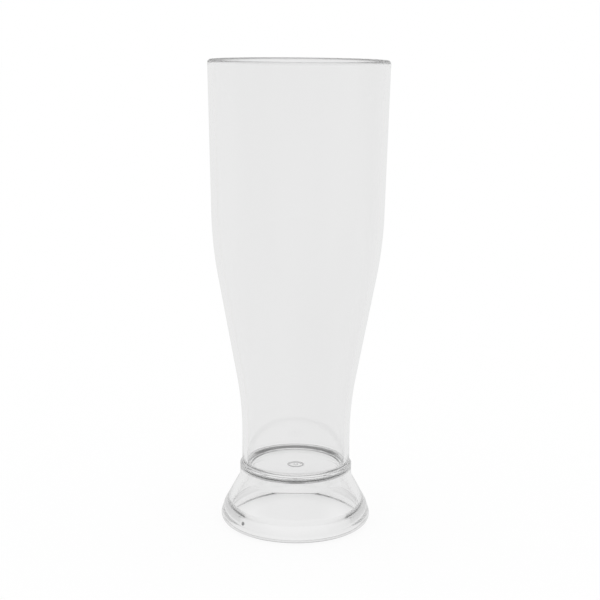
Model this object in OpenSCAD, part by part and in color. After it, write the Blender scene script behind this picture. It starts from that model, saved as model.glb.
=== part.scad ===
// Footed pilsner-style tumbler of clear plastic, in millimetres.
// A thin tapered cup plugs into a hollow flared foot.
// Both pieces are turned about Z, and the foot stands on Z = 0.

/* [Cup] */
// Outer diameter at the rim
rim_d = 76; // [74:0.5:95]
// Outer diameter where the upper wall turns into the taper
belly_d = 72.6; // [60:0.2:75]
// Outer diameter of the neck above the foot
neck_d = 47; // [40:0.2:58]
// Wall thickness
wall = 2; // [1.9:0.1:3]
// Outer edge radius of the lip
lip_round = 1.4; // [0.4:0.1:1.5]
// Inner edge radius of the lip
lip_in_round = 0.4; // [0.2:0.1:0.5]
// Radius of the outward bend at the belly
belly_bend = 168; // [20:1:220]
// Radius of the inward bend above the neck
neck_bend = 145; // [20:1:220]
// Radius inside, between the wall and the floor
floor_round = 3.2; // [1:0.1:6]
// Thickness of the floor
floor_t = 1.9; // [1.4:0.1:3]

/* [Heights above the table] */
// Overall height
height = 200; // [165:1:250]
// Height of the belly bend
belly_z = 122.6; // [100:0.2:150]
// Height of the neck bend
neck_z = 52.3; // [45:0.1:66]
// Height of the seat, the face that the cup rests on inside the foot
seat_z = 24.5; // [22:0.1:30]
// Height of the crease between the flare and the bottom band
crease_z = 7.7; // [6:0.1:10]

/* [Joint] */
// Width of the shoulder round the spigot, which rests on the seat
shoulder_w = 2.2; // [1.4:0.1:3]
// Length of the spigot below the seat
spigot_len = 1.2; // [0.8:0.1:2]
// Edge radius at the end of the spigot and at the bottom of the cup's wall
spigot_edge = 0.3; // [0.1:0.1:0.5]
// How far the socket reaches up round the cup above the seat
socket_depth = 1.4; // [0.8:0.1:2.5]
// Wall of the socket
socket_wall = 0.85; // [0.6:0.05:1.5]
// Radial clearance of the cup in the socket and of the spigot in the bore
fit_gap = 0.1; // [0.05:0.01:0.2]

/* [Foot] */
// Height of the straight collar
collar_h = 5.6; // [4.5:0.1:7]
// Edge radius at the top of the collar
collar_edge = 0.35; // [0.1:0.05:0.5]
// Radius between the collar and the flare
flare_round = 3.6; // [1:0.1:6]
// Diameter at the crease between the flare and the bottom band
crease_d = 62.6; // [58:0.2:76]
// Wall thickness of the flare
foot_wall = 3; // [2:0.1:4]
// Outward slope of the bottom band, in degrees
band_slope = 17; // [4:1:20]
// Width of the sole, from the inner face to the corner of the bottom band
sole_w = 6.2; // [5.9:0.1:7]
// Outer edge radius of the sole
heel_round = 2.8; // [1:0.1:3]
// Inner edge radius of the sole
sole_round = 2; // [0.4:0.1:2.3]
// Radius inside, between the inner cone and the inner face of the band
hollow_round = 1.8; // [0.5:0.1:4]

/* [Gate] */
// Diameter of the moulding dimple under the floor
gate_d = 6.2; // [3:0.2:10]
// Depth of the moulding dimple
gate_depth = 0.8; // [0.3:0.1:1]
// Diameter of the nub that the moulding gate leaves
nub_d = 1.8; // [1:0.1:2.5]
// Length of the nub
nub_len = 0.5; // [0.2:0.1:0.8]

/* [Hidden] */
$fn = 96;

rim_r = rim_d / 2;
neck_r = neck_d / 2;
neck_in_r = neck_r - wall;
spigot_r = neck_r - shoulder_w;
spigot_z = seat_z - spigot_len;
floor_z = spigot_z + floor_t;

socket_r = neck_r + fit_gap;
bore_r = spigot_r + fit_gap;
collar_r = socket_r + socket_wall;
collar_top_z = seat_z + socket_depth;
collar_z = collar_top_z - collar_h;
crease_r = crease_d / 2;
heel_r = crease_r + crease_z * tan(band_slope);
sole_in_r = heel_r - sole_w;

function unit(v) = v / norm(v);

// Arc of radius r that rounds the corner b between a and c, as points
function bend(a, b, c, r, steps) =
    let (
        u = unit(a - b),
        v = unit(c - b),
        half = acos(u * v) / 2,
        run = r / tan(half),
        centre = b + unit(u + v) * r / sin(half),
        sweep = 180 - 2 * half,
        from = b + u * run - centre,
        to = b + v * run - centre
    )
    [for (i = [0 : steps])
        let (t = i / steps)
        centre + (from * sin((1 - t) * sweep) + to * sin(t * sweep)) / sin(sweep)];

// The path moved sideways by t, to the right of its direction
function inset(path, t) =
    [for (i = [0 : len(path) - 1])
        let (d = unit(path[min(i + 1, len(path) - 1)] - path[max(i - 1, 0)]))
        path[i] + t * [d.y, -d.x]];

function backwards(path) = [for (i = [len(path) - 1 : -1 : 0]) path[i]];

// Height at which the inner cone, beside the flare, has radius r
flare_run = (crease_r - collar_r) / (collar_z - crease_z);
function hollow_z(r) = crease_z + (crease_r - foot_wall * norm([1, flare_run]) - r) / flare_run;

module cup_section() {
    rim = [rim_r, height];
    belly = [belly_d / 2, belly_z];
    neck = [neck_r, neck_z];
    bottom = [neck_r, seat_z];
    shoulder = [spigot_r, seat_z];
    spigot_end = [spigot_r, spigot_z];
    floor_corner = [neck_in_r, floor_z];
    wall_out = concat(
        bend(rim, belly, neck, belly_bend, 12),
        bend(belly, neck, bottom, neck_bend, 12)
    );
    wall_in = inset(wall_out, wall);
    lip_in = [rim_r - wall, height];
    polygon(concat(
        bend(lip_in, rim, belly, lip_round, 8),
        wall_out,
        bend(neck, bottom, shoulder, spigot_edge, 4),
        [shoulder],
        bend(shoulder, spigot_end, [0, spigot_z], spigot_edge, 4),
        [[0, spigot_z], [0, floor_z]],
        bend([0, floor_z], floor_corner, [neck_in_r, neck_z], floor_round, 8),
        backwards(wall_in),
        bend(wall_in[0], lip_in, rim, lip_in_round, 4)
    ));
}

module cup() {
    color("lightsteelblue") {
        difference() {
            rotate_extrude() cup_section();
            translate([0, 0, spigot_z - 1]) cylinder(d = gate_d, h = gate_depth + 1);
        }
        translate([0, 0, spigot_z + gate_depth - nub_len]) cylinder(d = nub_d, h = nub_len + 0.1);
    }
}

module foot_section() {
    collar_top_in = [socket_r, collar_top_z];
    collar_top = [collar_r, collar_top_z];
    collar_bottom = [collar_r, collar_z];
    crease = [crease_r, crease_z];
    heel = [heel_r, 0];
    sole_in = [sole_in_r, 0];
    hollow_low = [sole_in_r, hollow_z(sole_in_r)];
    hollow_top = [bore_r, hollow_z(bore_r)];
    seat_in = [bore_r, seat_z];
    polygon(concat(
        [collar_top_in],
        bend(collar_top_in, collar_top, collar_bottom, collar_edge, 4),
        bend(collar_top, collar_bottom, crease, flare_round, 8),
        [crease],
        bend(crease, heel, sole_in, heel_round, 10),
        bend(heel, sole_in, hollow_low, sole_round, 6),
        bend(sole_in, hollow_low, hollow_top, hollow_round, 4),
        bend(hollow_low, hollow_top, seat_in, flare_round + foot_wall, 8),
        [seat_in, [socket_r, seat_z]]
    ));
}

module foot() {
    color("gainsboro") rotate_extrude() foot_section();
}

cup();
foot();
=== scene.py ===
from math import ceil, hypot, pi, radians, sin, tan

import bpy
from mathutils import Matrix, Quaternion, Vector


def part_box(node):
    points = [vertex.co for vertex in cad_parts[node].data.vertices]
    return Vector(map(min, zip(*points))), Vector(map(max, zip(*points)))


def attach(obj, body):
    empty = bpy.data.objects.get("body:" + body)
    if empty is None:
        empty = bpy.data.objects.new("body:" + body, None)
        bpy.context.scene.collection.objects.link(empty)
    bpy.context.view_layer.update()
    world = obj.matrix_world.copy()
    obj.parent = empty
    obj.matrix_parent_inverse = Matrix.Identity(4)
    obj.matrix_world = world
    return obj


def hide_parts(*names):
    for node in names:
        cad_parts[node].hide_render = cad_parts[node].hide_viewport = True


# A tall footed tumbler in clear plastic: a thin tapered cup bonded into a hollow flared foot.
# Lengths are in metres, Z is up, and the tumbler stands on Z = 0.
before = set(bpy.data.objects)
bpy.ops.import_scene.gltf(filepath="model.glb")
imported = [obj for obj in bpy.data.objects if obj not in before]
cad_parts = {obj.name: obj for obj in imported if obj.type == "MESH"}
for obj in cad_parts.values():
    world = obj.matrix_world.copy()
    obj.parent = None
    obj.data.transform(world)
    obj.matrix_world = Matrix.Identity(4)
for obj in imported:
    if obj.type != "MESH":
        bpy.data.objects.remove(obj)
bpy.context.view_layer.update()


# Cup
# One injection moulding in clear plastic: a thin wall with a rounded lip, a belly, a long taper and a neck.
# Its shoulder rests on the foot's seat and a short spigot goes down into the bore, where the lap is bonded.
# The moulding gate has left a shallow round dimple with a nub under the middle of the floor.
MM = 0.001
cup_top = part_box("cup")[1].z
rim_r = 38.0 * MM
lip_round, lip_in_round = 1.4 * MM, 0.4 * MM
wall_t = 2.0 * MM
belly_r, belly_z, belly_bend = 36.3 * MM, 122.6 * MM, 168.0 * MM
neck_r, neck_z, neck_bend = 23.5 * MM, 52.3 * MM, 145.0 * MM
floor_t, floor_round = 1.9 * MM, 3.2 * MM
seat_z = 24.5 * MM
bond_line = 0.04 * MM
spigot_r, spigot_len = 21.3 * MM, 1.2 * MM
edge_round = 0.3 * MM
gate_r, gate_depth = 3.1 * MM, 0.8 * MM
nub_r, nub_len = 0.9 * MM, 0.5 * MM
shoulder_z = seat_z + bond_line
under_z = seat_z - spigot_len
floor_z = under_z + floor_t
gate_z = under_z + gate_depth
nub_z = gate_z - nub_len


def rounded_outline(corners):
    """Points of a section given as corners (radius from the axis, height, rounding of the corner)."""
    longest_step = 2.5 * MM
    turn_per_step = radians(7.5)
    finest_turn = radians(0.8)
    fewest_steps = 4
    points = [Vector(corners[0][:2])]
    for before, corner, after in zip(corners, corners[1:], corners[2:]):
        tip = Vector(corner[:2])
        rounding = corner[2]
        if rounding == 0:
            points.append(tip)
            continue
        back = (Vector(before[:2]) - tip).normalized()
        ahead = (Vector(after[:2]) - tip).normalized()
        half = back.angle(ahead) / 2
        sweep = pi - 2 * half
        centre = tip + (back + ahead).normalized() * rounding / sin(half)
        start = tip + back * rounding / tan(half) - centre
        end = tip + ahead * rounding / tan(half) - centre
        step_turn = max(finest_turn, min(turn_per_step, longest_step / rounding))
        steps = max(fewest_steps, ceil(sweep / step_turn))
        for i in range(steps + 1):
            t = i / steps
            points.append(centre + (start * sin((1 - t) * sweep) + end * sin(t * sweep)) / sin(sweep))
    points.append(Vector(corners[-1][:2]))
    filled = [points[0]]
    for a, b in zip(points, points[1:]):
        parts = max(1, ceil((b - a).length / longest_step))
        filled += [a.lerp(b, i / parts) for i in range(1, parts + 1)]
    return filled


def turned_piece(name, corners):
    """A piece of revolution about Z: its section is drawn point by point and spun."""
    steps_round = 240
    merge_within = 0.002 * MM
    smooth_below = radians(35)
    outline = rounded_outline(corners)
    bpy.ops.object.select_all(action="DESELECT")
    bpy.ops.mesh.primitive_plane_add(size=MM, location=(0, 0, 0))
    piece = bpy.context.object
    piece.name = name
    bpy.ops.object.mode_set(mode="EDIT")
    bpy.ops.mesh.select_all(action="SELECT")
    bpy.ops.mesh.merge(type="CENTER")
    bpy.ops.transform.translate(value=(outline[0].x, 0, outline[0].y))
    for a, b in zip(outline, outline[1:]):
        step = (b.x - a.x, 0, b.y - a.y)
        bpy.ops.mesh.extrude_region_move(TRANSFORM_OT_translate={"value": step})
    bpy.ops.mesh.select_all(action="SELECT")
    bpy.ops.mesh.spin(steps=steps_round, angle=2 * pi, center=(0, 0, 0), axis=(0, 0, 1))
    bpy.ops.mesh.select_all(action="SELECT")
    bpy.ops.mesh.remove_doubles(threshold=merge_within)
    bpy.ops.mesh.normals_make_consistent(inside=False)
    bpy.ops.object.mode_set(mode="OBJECT")
    bpy.ops.object.shade_smooth_by_angle(angle=smooth_below)
    return piece


def inner_corner(before, corner, after):
    """The inner wall's corner beside an outer one: along its bisector, so the wall keeps its thickness."""
    tip = Vector(corner[:2])
    back = (Vector(before[:2]) - tip).normalized()
    ahead = (Vector(after[:2]) - tip).normalized()
    bisector = (back + ahead).normalized()
    inward = Vector((-1, 0))
    side = 1 if bisector.dot(inward) > 0 else -1
    offset = wall_t / sin(back.angle(ahead) / 2)
    moved = tip + bisector * side * offset
    return (moved.x, moved.y, corner[2] - side * wall_t)


rim = (rim_r, cup_top, lip_round)
belly = (belly_r, belly_z, belly_bend)
neck = (neck_r, neck_z, neck_bend)
cup = turned_piece("cup_shell", [
    (0, floor_z, 0),
    (neck_r - wall_t, floor_z, floor_round),
    inner_corner(belly, neck, (neck_r, seat_z)),
    inner_corner(rim, belly, neck),
    (rim_r - wall_t, cup_top, lip_in_round),
    rim,
    belly,
    neck,
    (neck_r, shoulder_z, edge_round),
    (spigot_r, shoulder_z, 0),
    (spigot_r, under_z, edge_round),
    (gate_r, under_z, edge_round),
    (gate_r, gate_z, edge_round),
    (nub_r, gate_z, edge_round / 2),
    (nub_r, nub_z, edge_round),
    (0, nub_z, 0),
])


def clear_plastic(name, seed):
    """Clear moulded plastic: faint flow streaks along Z, a worn polish and the mould's slow ripple."""
    streak_dark, streak_light = 0.974, 0.996
    streaks_per_m, streak_stretch = 45.0, 0.1
    wear_per_m, wear_dulling = 420.0, 0.05
    ripples_per_m, ripple_depth, ripple_strength = 45.0, 0.2 * MM, 0.05
    material = bpy.data.materials.new(name)
    material.use_nodes = True
    nodes, links = material.node_tree.nodes, material.node_tree.links
    plastic = nodes["Principled BSDF"]
    plastic.inputs["Transmission Weight"].default_value = 1.0
    plastic.inputs["IOR"].default_value = 1.5
    place = nodes.new("ShaderNodeTexCoord")

    flow = nodes.new("ShaderNodeMapping")
    flow.inputs["Scale"].default_value = (1, 1, streak_stretch)
    streaks = nodes.new("ShaderNodeTexNoise")
    streaks.noise_dimensions = "4D"
    streaks.inputs["W"].default_value = seed
    streaks.inputs["Scale"].default_value = streaks_per_m
    streaks.inputs["Detail"].default_value = 2.0
    shade = nodes.new("ShaderNodeValToRGB")
    shade.color_ramp.elements[0].position = 0.3
    shade.color_ramp.elements[0].color = (streak_dark, streak_dark, streak_dark, 1)
    shade.color_ramp.elements[1].position = 0.7
    shade.color_ramp.elements[1].color = (streak_light, streak_light, streak_light, 1)
    links.new(place.outputs["Object"], flow.inputs["Vector"])
    links.new(flow.outputs["Vector"], streaks.inputs["Vector"])
    links.new(streaks.outputs["Fac"], shade.inputs["Fac"])
    links.new(shade.outputs["Color"], plastic.inputs["Base Color"])

    wear = nodes.new("ShaderNodeTexNoise")
    wear.inputs["Scale"].default_value = wear_per_m
    wear.inputs["Detail"].default_value = 5.0
    polish = nodes.new("ShaderNodeMapRange")
    polish.inputs["From Min"].default_value = 0.35
    polish.inputs["From Max"].default_value = 0.8
    polish.inputs["To Min"].default_value = 0.0
    polish.inputs["To Max"].default_value = wear_dulling
    links.new(place.outputs["Object"], wear.inputs["Vector"])
    links.new(wear.outputs["Fac"], polish.inputs["Value"])
    links.new(polish.outputs["Result"], plastic.inputs["Roughness"])

    ripple = nodes.new("ShaderNodeTexNoise")
    ripple.inputs["Scale"].default_value = ripples_per_m
    ripple.inputs["Detail"].default_value = 1.0
    skin = nodes.new("ShaderNodeBump")
    skin.inputs["Strength"].default_value = ripple_strength
    skin.inputs["Distance"].default_value = ripple_depth
    links.new(place.outputs["Object"], ripple.inputs["Vector"])
    links.new(ripple.outputs["Fac"], skin.inputs["Height"])
    links.new(skin.outputs["Normal"], plastic.inputs["Normal"])
    return material


def scuff(material, clear_z, worn_z, roughness):
    """Fine scratches from use: the polish goes dull from the height clear_z to the edge at worn_z."""
    nodes, links = material.node_tree.nodes, material.node_tree.links
    plastic = nodes["Principled BSDF"]
    place = nodes.new("ShaderNodeTexCoord")
    height = nodes.new("ShaderNodeSeparateXYZ")
    dulling = nodes.new("ShaderNodeMapRange")
    dulling.inputs["From Min"].default_value = clear_z
    dulling.inputs["From Max"].default_value = worn_z
    dulling.inputs["To Min"].default_value = 0.0
    dulling.inputs["To Max"].default_value = roughness
    total = nodes.new("ShaderNodeMath")
    total.operation = "ADD"
    links.new(place.outputs["Object"], height.inputs["Vector"])
    links.new(height.outputs["Z"], dulling.inputs["Value"])
    links.new(plastic.inputs["Roughness"].links[0].from_socket, total.inputs[0])
    links.new(dulling.outputs["Result"], total.inputs[1])
    links.new(total.outputs[0], plastic.inputs["Roughness"])


def shade_and_stain(material, place, centre, reach, depth):
    # Used both for real marks and for painted shade at the seam between cup and foot.
    """Darkens the plastic within reach of centre, in the coordinates that the node socket place gives."""
    full_share = 0.6
    nodes, links = material.node_tree.nodes, material.node_tree.links
    plastic = nodes["Principled BSDF"]
    away = nodes.new("ShaderNodeVectorMath")
    away.operation = "DISTANCE"
    away.inputs[1].default_value = centre
    fade = nodes.new("ShaderNodeMapRange")
    fade.interpolation_type = "SMOOTHSTEP"
    fade.inputs["From Min"].default_value = full_share * reach
    fade.inputs["From Max"].default_value = reach
    fade.inputs["To Min"].default_value = 1 - depth
    fade.inputs["To Max"].default_value = 1.0
    # A Mix node's colour sockets are inputs 6 and 7 and output 2
    darkened = nodes.new("ShaderNodeMix")
    darkened.data_type = "RGBA"
    darkened.blend_type = "MULTIPLY"
    darkened.inputs["Factor"].default_value = 1.0
    links.new(place, away.inputs[0])
    links.new(away.outputs["Value"], fade.inputs["Value"])
    links.new(plastic.inputs["Base Color"].links[0].from_socket, darkened.inputs[6])
    links.new(fade.outputs["Result"], darkened.inputs[7])
    links.new(darkened.outputs[2], plastic.inputs["Base Color"])


def ring_shade_and_stain(material, ring_r, ring_z, reach, depth):
    """A darkening all round the axis, for painted shade as well as stains: each point is turned into the
    section's plane, as (radius, 0, height).
    """
    nodes, links = material.node_tree.nodes, material.node_tree.links
    place = nodes.new("ShaderNodeTexCoord")
    across = nodes.new("ShaderNodeVectorMath")
    across.operation = "MULTIPLY"
    across.inputs[1].default_value = (1, 1, 0)
    radius = nodes.new("ShaderNodeVectorMath")
    radius.operation = "LENGTH"
    height = nodes.new("ShaderNodeSeparateXYZ")
    section = nodes.new("ShaderNodeCombineXYZ")
    links.new(place.outputs["Object"], across.inputs[0])
    links.new(across.outputs["Vector"], radius.inputs[0])
    links.new(place.outputs["Object"], height.inputs["Vector"])
    links.new(radius.outputs["Value"], section.inputs["X"])
    links.new(height.outputs["Z"], section.inputs["Z"])
    shade_and_stain(material, section.outputs["Vector"], (ring_r, 0, ring_z), reach, depth)


lip_clear_z, lip_worn_z = cup_top - 1.5 * MM, cup_top - 0.3 * MM
lip_wear = 0.5
shoulder_bond_and_shade_reach, shoulder_bond_and_shade_depth = 0.95 * MM, 0.4
gate_ring_reach, gate_ring_depth = 0.8 * MM, 0.8
cup_plastic = clear_plastic("clear_cup_plastic", 1.0)
scuff(cup_plastic, lip_clear_z, lip_worn_z, lip_wear)
# The dark ring at the shoulder is partly the bond line and partly painted shade along the seam with the
# foot.
ring_shade_and_stain(cup_plastic, neck_r, shoulder_z, shoulder_bond_and_shade_reach, shoulder_bond_and_shade_depth)
# The plastic is darker in a ring round the gate's edge.
ring_shade_and_stain(cup_plastic, gate_r, under_z, gate_ring_reach, gate_ring_depth)
cup.data.materials.append(cup_plastic)
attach(cup, "root")
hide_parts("cup")


# Foot
# One injection moulding in the same plastic: a collar with a shallow socket and a seat, and a flared skirt.
# It is hollow and open underneath, and stands on a thick bottom band with a rounded outer edge.
# The bond with the cup is a dark ring in the socket's corner, partly the bond line and partly painted
# shade, and moulding has left a dot on the band.
socket_gap = 0.1 * MM
socket_r = neck_r + socket_gap
bore_r = spigot_r + socket_gap
collar_r, collar_top, collar_z = 24.45 * MM, 25.9 * MM, 20.3 * MM
collar_mid_r = (socket_r + collar_r) / 2
collar_round = 0.35 * MM
flare_round = 3.6 * MM
foot_wall = 3.0 * MM
crease_r, crease_z = 31.3 * MM, 7.7 * MM
band_slope = radians(17)
heel_r = crease_r + crease_z * tan(band_slope)
heel_round = 2.8 * MM
sole_w, sole_round = 6.2 * MM, 2.0 * MM
sole_in_r = heel_r - sole_w
flare_run = (crease_r - collar_r) / (collar_z - crease_z)
crease_in_r = crease_r - foot_wall * hypot(1, flare_run)
hollow_low_z = crease_z + (crease_in_r - sole_in_r) / flare_run
hollow_top_z = crease_z + (crease_in_r - bore_r) / flare_run
hollow_round = 1.8 * MM
foot = turned_piece("foot_shell", [
    (collar_mid_r, collar_top, 0),
    (collar_r, collar_top, collar_round),
    (collar_r, collar_z, flare_round),
    (crease_r, crease_z, edge_round),
    (heel_r, 0, heel_round),
    (sole_in_r, 0, sole_round),
    (sole_in_r, hollow_low_z, hollow_round),
    (bore_r, hollow_top_z, flare_round + foot_wall),
    (bore_r, seat_z, edge_round),
    (socket_r, seat_z, edge_round),
    (socket_r, collar_top, edge_round),
    (collar_mid_r, collar_top, 0),
])
sole_clear_z, sole_worn_z = 0.8 * MM, 0.0
sole_wear = 0.25
socket_bond_and_shade_reach, socket_bond_and_shade_depth = 1.1 * MM, 0.72
dot_centre = (-22.3 * MM, -22.9 * MM, 5.5 * MM)
dot_reach, dot_depth = 1.05 * MM, 0.9
foot_plastic = clear_plastic("clear_foot_plastic", 2.0)
scuff(foot_plastic, sole_clear_z, sole_worn_z, sole_wear)
# The dark ring in the socket's corner is partly the bond line and partly painted shade along the seam.
ring_shade_and_stain(foot_plastic, socket_r, seat_z, socket_bond_and_shade_reach, socket_bond_and_shade_depth)
foot_place = foot_plastic.node_tree.nodes.new("ShaderNodeTexCoord")
shade_and_stain(foot_plastic, foot_place.outputs["Object"], dot_centre, dot_reach, dot_depth)
foot.data.materials.append(foot_plastic)
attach(foot, "root")
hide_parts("foot")


# Table
# A plain white sweep that the tumbler stands on, with the tumbler's soft shadow.
# Through the plastic, or mirrored in it, the sweep is pale grey, with painted light inside the foot's ring
# and a painted contact shadow in a ring under the foot's edge.
table_w = 12.0
table_gap = 0.2 * MM
table_grey = 0.08
table_white = 0.92
shade_reach = 100.0 * MM
shade_rings = [
    (20.0 * MM, 0.86),
    (28.0 * MM, 0.78),
    (31.0 * MM, 0.52),
    (33.5 * MM, 0.52),
    (40.0 * MM, 0.75),
    (80.0 * MM, 0.755),
]
bpy.ops.object.select_all(action="DESELECT")
bpy.ops.mesh.primitive_plane_add(size=table_w, location=(0, 0, -table_gap))
table = bpy.context.object
table.name = "table"
bpy.ops.object.transform_apply(location=True, rotation=True, scale=True)
table_paint = bpy.data.materials.new("white_table")
table_paint.use_nodes = True
paint_nodes, paint_links = table_paint.node_tree.nodes, table_paint.node_tree.links
paint = paint_nodes["Principled BSDF"]
paint.inputs["Base Color"].default_value = (table_grey, table_grey, table_grey, 1)
paint.inputs["Roughness"].default_value = 1.0
paint.inputs["Specular IOR Level"].default_value = 0.0
paint.inputs["Emission Color"].default_value = (1, 1, 1, 1)

table_place = paint_nodes.new("ShaderNodeTexCoord")
from_axis = paint_nodes.new("ShaderNodeVectorMath")
from_axis.operation = "LENGTH"
reach_share = paint_nodes.new("ShaderNodeMath")
reach_share.operation = "DIVIDE"
reach_share.inputs[1].default_value = shade_reach
# The contact shadow ring and the lighter middle inside the foot are painted into the sweep's glow by
# distance from the axis.
contact_shade = paint_nodes.new("ShaderNodeValToRGB")
stops = contact_shade.color_ramp.elements
for i, (ring_r, level) in enumerate(shade_rings):
    stop = stops[i] if i < len(stops) else stops.new(1.0)
    stop.position = ring_r / shade_reach
    stop.color = (level, level, level, 1)
paint_links.new(table_place.outputs["Object"], from_axis.inputs[0])
paint_links.new(from_axis.outputs["Value"], reach_share.inputs[0])
paint_links.new(reach_share.outputs[0], contact_shade.inputs["Fac"])

table_ray = paint_nodes.new("ShaderNodeLightPath")
through_or_glossy = paint_nodes.new("ShaderNodeMath")
through_or_glossy.operation = "MAXIMUM"
seen_in_plastic = paint_nodes.new("ShaderNodeMath")
seen_in_plastic.operation = "MULTIPLY"
seen = paint_nodes.new("ShaderNodeMath")
seen.operation = "MULTIPLY_ADD"
seen.inputs[1].default_value = table_white
paint_links.new(table_ray.outputs["Is Transmission Ray"], through_or_glossy.inputs[0])
paint_links.new(table_ray.outputs["Is Glossy Ray"], through_or_glossy.inputs[1])
paint_links.new(through_or_glossy.outputs[0], seen_in_plastic.inputs[0])
paint_links.new(contact_shade.outputs["Color"], seen_in_plastic.inputs[1])
paint_links.new(table_ray.outputs["Is Camera Ray"], seen.inputs[0])
paint_links.new(seen_in_plastic.outputs[0], seen.inputs[2])
paint_links.new(seen.outputs[0], paint.inputs["Emission Strength"])
table.data.materials.append(table_paint)


# Light
# An even pale studio all round with a dim ceiling, so that edges which bend the view upwards go dark.
# The background itself is plain white. Light turns many times inside the lip and the foot before it leaves.
studio_level, ceiling_level = 0.82, 0.13
ceiling_start, ceiling_full = 0.36, 0.52
most_bounces = 512
world = bpy.data.worlds.new("white_studio")
bpy.context.scene.world = world
world.use_nodes = True
sky_nodes, sky_links = world.node_tree.nodes, world.node_tree.links
backdrop = sky_nodes["Background"]
backdrop.inputs["Color"].default_value = (1, 1, 1, 1)
direction = sky_nodes.new("ShaderNodeTexCoord")
heading = sky_nodes.new("ShaderNodeSeparateXYZ")
ceiling = sky_nodes.new("ShaderNodeMapRange")
ceiling.inputs["From Min"].default_value = ceiling_start
ceiling.inputs["From Max"].default_value = ceiling_full
ceiling.inputs["To Min"].default_value = studio_level
ceiling.inputs["To Max"].default_value = ceiling_level
sky_links.new(direction.outputs["Generated"], heading.inputs["Vector"])
sky_links.new(heading.outputs["Z"], ceiling.inputs["Value"])

studio_ray = sky_nodes.new("ShaderNodeLightPath")
glossy_or_through = sky_nodes.new("ShaderNodeMath")
glossy_or_through.operation = "MAXIMUM"
white_or_studio = sky_nodes.new("ShaderNodeMix")
white_or_studio.inputs["A"].default_value = 1.0
sky_links.new(studio_ray.outputs["Is Glossy Ray"], glossy_or_through.inputs[0])
sky_links.new(studio_ray.outputs["Is Transmission Ray"], glossy_or_through.inputs[1])
sky_links.new(glossy_or_through.outputs[0], white_or_studio.inputs["Factor"])
sky_links.new(ceiling.outputs["Result"], white_or_studio.inputs["B"])
sky_links.new(white_or_studio.outputs["Result"], backdrop.inputs["Strength"])
bpy.context.scene.view_settings.view_transform = "Standard"
bpy.context.scene.cycles.max_bounces = most_bounces
bpy.context.scene.cycles.transmission_bounces = most_bounces
bpy.context.scene.cycles.glossy_bounces = most_bounces


# Camera
# A little above the rim and tilted down, with the slight roll of the picture.
camera_away = 541.0 * MM
camera_z = 214.0 * MM
look_down = radians(12.05)
turn = radians(0.13)
roll = radians(0.53)
camera_data = bpy.data.cameras.new("camera")
camera_data.sensor_width = 36.0
camera_data.lens = 77.3
camera = bpy.data.objects.new("camera", camera_data)
bpy.context.scene.collection.objects.link(camera)
camera.location = (0, -camera_away, camera_z)
aim = Vector((tan(turn), 1, -tan(look_down)))
camera.rotation_mode = "QUATERNION"
camera.rotation_quaternion = aim.to_track_quat("-Z", "Y") @ Quaternion((0, 0, 1), roll)
bpy.context.scene.camera = camera
